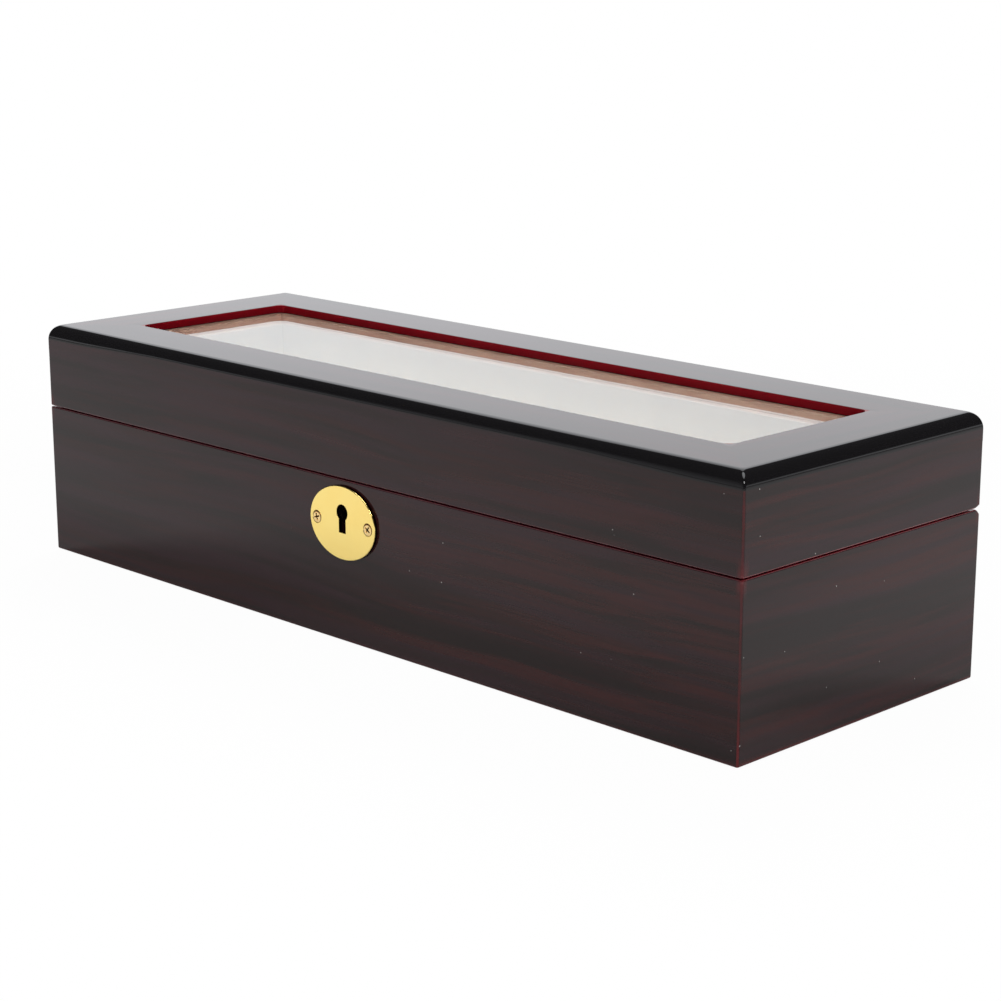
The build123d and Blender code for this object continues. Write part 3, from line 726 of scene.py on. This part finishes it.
def screwMesh(head, length):
    blank = screwBlank(head, length)
    cutter = crossRecess(head)
    cut = blank.modifiers.new("recess", "BOOLEAN")
    cut.operation = "DIFFERENCE"
    cut.solver = "EXACT"
    cut.use_self = True
    cut.object = cutter
    finished = meshOf(blank)
    bpy.data.objects.remove(blank)
    bpy.data.objects.remove(cutter)
    return finished


def makeScrews():
    first, further = screwShape["twist"]
    for name, settings in screws.items():
        low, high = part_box(settings["node"])
        facing = Vector(settings["facing"])
        outermost = high.x - settings["head"] / 2 * mm
        places = [-outermost, outermost]
        if "pairs" in settings:
            places += [-outermost + settings["pairs"] * mm, outermost - settings["pairs"] * mm]
        centre = (low + high) / 2
        length = abs((high - low).dot(facing))
        shape = screwMesh(settings["head"], length)
        turn = facing.to_track_quat("Z", "Y").to_matrix().to_4x4()
        bm = bmesh.new()
        for number, x in enumerate(sorted(places)):
            seat = Vector((x, centre.y, centre.z)) + facing * length / 2
            known = set(bm.verts)
            bm.from_mesh(shape)
            added = [vert for vert in bm.verts if vert not in known]
            twist = Matrix.Rotation(math.radians(first + further * number), 4, "Z")
            bmesh.ops.transform(bm, matrix=Matrix.Translation(seat) @ turn @ twist, verts=added)
        newPiece(name + "Screws", bm, settings["finish"], settings["body"], [settings["node"]])


makeScrews()
print("screws made")


linings = {
    "edge": 0.55,                   # soft edge of velvet folded over a board
    "dividerEdge": 1.2,
    "frames": {"glass_beads": 0.6, "lid_lining_top": 0.4},
}


def softenedBoard(node, body, softness):
    low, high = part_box(node)
    size = high - low
    bm = bmesh.new()
    block(bm, size, (low + high) / 2)
    rounded(bm, bm.edges, min(softness * mm, 0.45 * min(size)), 4)
    newPiece(node + "Velvet", bm, "velvet", body, [node])


def velvetFrame(node, softness):
    low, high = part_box(node)
    windowLow, windowHigh = windowCorners()
    bm = squareFrame([(low, high, low.z), (low, high, high.z),
                      (windowLow, windowHigh, high.z), (windowLow, windowHigh, low.z)])
    showing = [edge for edge in bm.edges
               if all(near(vert.co.z, low.z) for vert in edge.verts) and edge.calc_face_angle(0) > 0.5]
    rounded(bm, showing, softness * mm, 4)
    newPiece(node + "Velvet", bm, "rimVelvet", "lid", [node])


def makeLinings():
    for side in ("front", "back", "left", "right"):
        softenedBoard("lining_" + side, "base", linings["edge"])
        softenedBoard("lid_lining_" + side, "lid", linings["edge"])
    softenedBoard("floor_lining", "base", linings["edge"])
    for number in range(1, 6):
        softenedBoard("divider_" + str(number), "base", linings["dividerEdge"])
    for node, softness in linings["frames"].items():
        velvetFrame(node, softness)


makeLinings()
print("linings made")


cushion = {
    "start": (43.0, 80.0, 31.0),    # the sewn cover before it is filled
    "corner": 6.0,
    "grid": 2.6,
    "pressure": 4.0,
    "quality": 6,
    "frames": 20,
    "mostSwell": 2.6,
    "smoothings": 7,
    "seamInset": 6.5,               # from each end to the piped seam
    "seamPull": (0.75, 1.5),        # how deep the seam is drawn in, and how far from it
    "pucker": (0.18, 5.0),          # how high the folds at the seam stand, and how far they reach
    "puckerWaves": (1.9, 1.7),      # radians in a millimetre along x and z
    "cord": 0.55,                   # radius of the piping
    "spare": 0.25,                  # left free all round inside the place it fills
    "modelScale": 10.0,             # cloth settles better when it is simulated large
}


def sewnCover():
    enlarged = cushion["modelScale"] * mm
    bm = bmesh.new()
    block(bm, [side * enlarged for side in cushion["start"]])
    rounded(bm, bm.edges, cushion["corner"] * enlarged, 3)
    cover = newObject("coverForm", meshFrom(bm, "coverForm"))
    remesh = cover.modifiers.new("grid", "REMESH")
    remesh.mode = "VOXEL"
    remesh.voxel_size = cushion["grid"] * enlarged
    even = meshOf(cover)
    cover.modifiers.clear()
    cover.data = even
    return cover


def blowUp(cover):
    cloth = cover.modifiers.new("cloth", "CLOTH")
    cloth.settings.quality = cushion["quality"]
    cloth.settings.use_pressure = True
    cloth.settings.uniform_pressure_force = cushion["pressure"]
    cloth.settings.effector_weights.gravity = 0
    cloth.point_cache.frame_start = 1
    cloth.point_cache.frame_end = cushion["frames"]
    scene = bpy.context.scene
    for frameNumber in range(1, cushion["frames"] + 1):
        scene.frame_set(frameNumber)
    blown = cover.evaluated_get(bpy.context.evaluated_depsgraph_get()).data
    most = cushion["mostSwell"] * cushion["modelScale"] * mm
    filled = []
    for slack, vert in zip(cover.data.vertices, blown.vertices):
        move = vert.co - slack.co
        filled.append(slack.co + move * min(1.0, most / max(move.length, 1e-9)))
    scene.frame_set(1)
    return filled


def filledCushion():
    cover = sewnCover()
    filled = [vert.co.copy() for vert in cover.data.vertices]
    filled = blowUp(cover)
    bm = bmesh.new()
    bm.from_mesh(cover.data)
    for vert, place in zip(bm.verts, filled):
        vert.co = place / cushion["modelScale"]
    bpy.data.objects.remove(cover)
    for turn in range(cushion["smoothings"]):
        bmesh.ops.smooth_vert(bm, verts=bm.verts, factor=0.5, use_axis_x=True, use_axis_y=True,
                              use_axis_z=True)
    return bm


def fitted(bm, low, high):
    ownLow, ownHigh = (Vector([pick(vert.co[axis] for vert in bm.verts) for axis in range(3)])
                       for pick in (min, max))
    size, wanted = ownHigh - ownLow, high - low
    bmesh.ops.translate(bm, verts=bm.verts, vec=-(ownLow + ownHigh) / 2)
    bmesh.ops.scale(bm, verts=bm.verts, vec=[wanted[axis] / size[axis] for axis in range(3)])
    bmesh.ops.translate(bm, verts=bm.verts, vec=(low + high) / 2)


def orderedLoop(edges):
    following = {}
    for edge in edges:
        for vert in edge.verts:
            following.setdefault(vert, []).append(edge.other_vert(vert))
    loop = [edges[0].verts[0]]
    seen = set(loop)
    while True:
        nextVerts = [vert for vert in following[loop[-1]] if vert not in seen]
        if not nextVerts:
            return [vert.co.copy() for vert in loop]
        loop.append(nextVerts[0])
        seen.add(nextVerts[0])


def pipedSeam(bm, y):
    copied = bm.copy()
    cut = cutAcross(copied, (0, y, 0), (0, 1, 0))
    route = orderedLoop([part for part in cut if isinstance(part, bmesh.types.BMEdge)])[::2]
    copied.free()
    curve = bpy.data.curves.new("piping", "CURVE")
    curve.dimensions = "3D"
    curve.bevel_depth = cushion["cord"] * mm
    curve.bevel_resolution = 3
    spline = curve.splines.new("POLY")
    spline.points.add(len(route) - 1)
    for point, place in zip(spline.points, route):
        point.co = (*place, 1)
    spline.use_cyclic_u = True
    holder = newObject("piping", curve)
    tube = meshOf(holder)
    bpy.data.objects.remove(holder)
    return tube


def drawIn(bm, middle, seams, number):  # the cover dips and puckers beside its seams
    pull, pullReach = cushion["seamPull"]
    high, puckerReach = cushion["pucker"]
    waveX, waveZ = cushion["puckerWaves"]
    for vert in bm.verts:
        off = min(abs(vert.co.y - seam) for seam in seams) / mm
        pucker = high * math.sin(vert.co.x / mm * waveX + vert.co.z / mm * waveZ + number)
        inwards = pull * math.exp(-(off / pullReach) ** 2) + pucker * math.exp(-(off / puckerReach) ** 2)
        core = Vector((middle.x, vert.co.y, middle.z))
        vert.co += (core - vert.co).normalized() * inwards * mm


def makeCushions():
    form = filledCushion()
    spare = Vector((1, 1, 1)) * cushion["spare"] * mm
    for number in range(1, 7):
        node = "cushion_" + str(number)
        low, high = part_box(node)
        bm = form.copy()
        turned = Matrix.Rotation(math.pi * (number % 2), 3, "Z")
        bmesh.ops.rotate(bm, verts=bm.verts, cent=(0, 0, 0), matrix=turned)
        fitted(bm, low + spare, high - spare)
        seams = (low.y + cushion["seamInset"] * mm, high.y - cushion["seamInset"] * mm)
        drawIn(bm, (low + high) / 2, seams, number)
        for seam in seams:
            bm.from_mesh(pipedSeam(bm, seam))
        piece = newPiece("cushion" + str(number), bm, "cushionVelvet", node, [node], 180)
        rounder = piece.modifiers.new("rounder", "SUBSURF")
        rounder.levels = 1
        rounder.render_levels = 1
    form.free()


makeCushions()
print("cushions made")


cameraSettings = {  # metres, degrees and the millimetres of the lens
    "location": (0.5459, -0.5261, 0.2278),
    "rotation": (75.923, 0.025, 45.290),
    "lens": 84.13,
}


def makeCamera():
    data = bpy.data.cameras.new("camera")
    data.sensor_width = 36
    data.lens = cameraSettings["lens"]
    data.clip_start = 0.01
    camera = newObject("camera", data)
    camera.location = cameraSettings["location"]
    camera.rotation_euler = [math.radians(a) for a in cameraSettings["rotation"]]
    bpy.context.scene.camera = camera


floorSettings = {
    "size": 12.0,                   # metres
    "albedo": 0.93,
    "white": (200, 600, 0.97),      # where it turns wholly white to the camera, and how white it is before
    "paintedFalloff": (450, 2400, 0.45),      # painted shade: darker away from the box, standing in for light falling off
    "shades": [
        {"x": (60, -100), "y": (-130, -60), "share": 0.27},     # close to its front, on the left
        {"x": (240, 170), "y": (-40, 20), "share": 0.20},       # and to its right end
    ],
}


def floorPaper():
    material, tree, shader = newMaterial("floorPaper")
    tree.nodes.remove(shader)
    place = inMillimetres(tree)
    fromBox = addNode(tree, "VectorMath", {0: place}, operation="LENGTH").outputs["Value"]
    # painted shade growing away from the box
    start, end, least = floorSettings["paintedFalloff"]
    albedo = times(tree, mapRange(tree, fromBox, start, end, 1.0, least), floorSettings["albedo"])
    parts = split(tree, place)
    for shade in floorSettings["shades"]:
        across, along = (mapRange(tree, parts[axis], *shade[name]) for axis, name in enumerate("xy"))
        shaded = times(tree, across, along)
        albedo = times(tree, albedo, mapRange(tree, shaded, 0.0, 1.0, 1.0, 1.0 - shade["share"]))
    paper = addNode(tree, "BsdfDiffuse", {"Color": albedo})
    white = addNode(tree, "Emission", {"Color": (1, 1, 1, 1), "Strength": 1.0})
    path = addNode(tree, "LightPath")
    start, end, least = floorSettings["white"]
    share = times(tree, path.outputs["Is Camera Ray"], mapRange(tree, fromBox, start, end, least, 1.0))
    mixed = addNode(tree, "MixShader", {0: share, 1: paper.outputs[0], 2: white.outputs[0]})
    tree.links.new(mixed.outputs[0], tree.nodes["Material Output"].inputs["Surface"])
    return material


def makeFloor():
    bm = bmesh.new()
    bmesh.ops.create_grid(bm, x_segments=1, y_segments=1, size=floorSettings["size"] / 2)
    floor = newObject("floor", meshFrom(bm, "floor"))
    floor.data.materials.append(floorPaper())


skySettings = {
    "light": 0.40,                  # what matt surfaces receive from all round
    "sweep": (1.175, 1.195, 1.235),     # the white backdrop behind the box, as polished surfaces see it
    "dark": (0.05, 0.05, 0.05),     # the unlit room above and beside it
    "top": (55, 62),                # degrees above the horizon where it ends
    "brighter": (14, 30, 1.45),     # and between which it grows brighter
    "right": (-0.40, -0.29),        # its edges, as the x and y of the way one looks
    "front": (0.27, 0.38),
    "overhead": (66, 74, 4.5),      # a small softbox right above
    "elsewhereTop": (1, 5),
    "glow": {"facing": (-0.35, -0.94, 0), "edge": (0.82, 0.93), "top": (-15, 33), "strength": 0.72},
}


def sines(angles):
    return [math.sin(math.radians(angle)) for angle in angles]


def polishedView(tree):  # what polished surfaces see all round
    direction = addNode(tree, "TexCoord").outputs["Generated"]
    x, y, height = split(tree, direction)
    lit = times(tree, mapRange(tree, height, *reversed(sines(skySettings["top"]))),
                mapRange(tree, x, *reversed(skySettings["right"])))
    lit = times(tree, lit, mapRange(tree, y, *skySettings["front"]))
    low, high, brighter = skySettings["brighter"]
    lit = times(tree, lit, mapRange(tree, height, *sines((low, high)), 1.0, brighter))
    around = mapRange(tree, height, *reversed(sines(skySettings["elsewhereTop"])))
    glow = skySettings["glow"]
    toGlow = addNode(tree, "VectorMath", {0: direction, 1: glow["facing"]}, operation="DOT_PRODUCT")
    nearGlow = mapRange(tree, toGlow.outputs["Value"], *glow["edge"])
    glowing = mapRange(tree, height, *reversed(sines(glow["top"])), 0.0, glow["strength"])
    around = plus(tree, times(tree, around, minus(tree, 1.0, nearGlow)), times(tree, glowing, nearGlow))
    lit = greater(tree, lit, around)
    low, high, strength = skySettings["overhead"]
    lit = greater(tree, lit, mapRange(tree, height, *sines((low, high)), 0.0, strength))
    seen = scaled(tree, skySettings["sweep"], lit)
    return addNode(tree, "VectorMath", {0: seen, 1: skySettings["dark"]}, operation="MAXIMUM").outputs[0]


def makeSky():
    world = bpy.data.worlds.new("studio")
    bpy.context.scene.world = world
    world.use_nodes = True
    tree = world.node_tree
    path = addNode(tree, "LightPath")
    bounced = maths(tree, "GREATER_THAN", path.outputs["Diffuse Depth"], 0.5)
    polished = maths(tree, "GREATER_THAN", path.outputs["Glossy Depth"], 0.5)
    direct = mixColour(tree, polished, (1, 1, 1), polishedView(tree))
    light = (skySettings["light"],) * 3
    tree.links.new(mixColour(tree, bounced, direct, light), tree.nodes["Background"].inputs["Color"])


lampSettings = {  # metres and watts
    "backLeft": {"place": (-1.1, 1.6, 1.95), "size": 1.4, "power": 40, "seen": False},
    "overCamera": {"place": (1.5, -1.3, 1.9), "size": 0.6, "power": 35, "seen": True},
}


def makeLamps():
    for name, settings in lampSettings.items():
        data = bpy.data.lights.new(name, "AREA")
        data.size = settings["size"]
        data.energy = settings["power"]
        lamp = newObject(name, data)
        lamp.location = settings["place"]
        lamp.rotation_euler = Vector(settings["place"]).to_track_quat("Z", "Y").to_euler()
        lamp.visible_glossy = settings["seen"]


makeCamera()
makeFloor()
makeSky()
makeLamps()
bpy.context.scene.view_settings.view_transform = "Standard"
print("camera, floor and light placed")
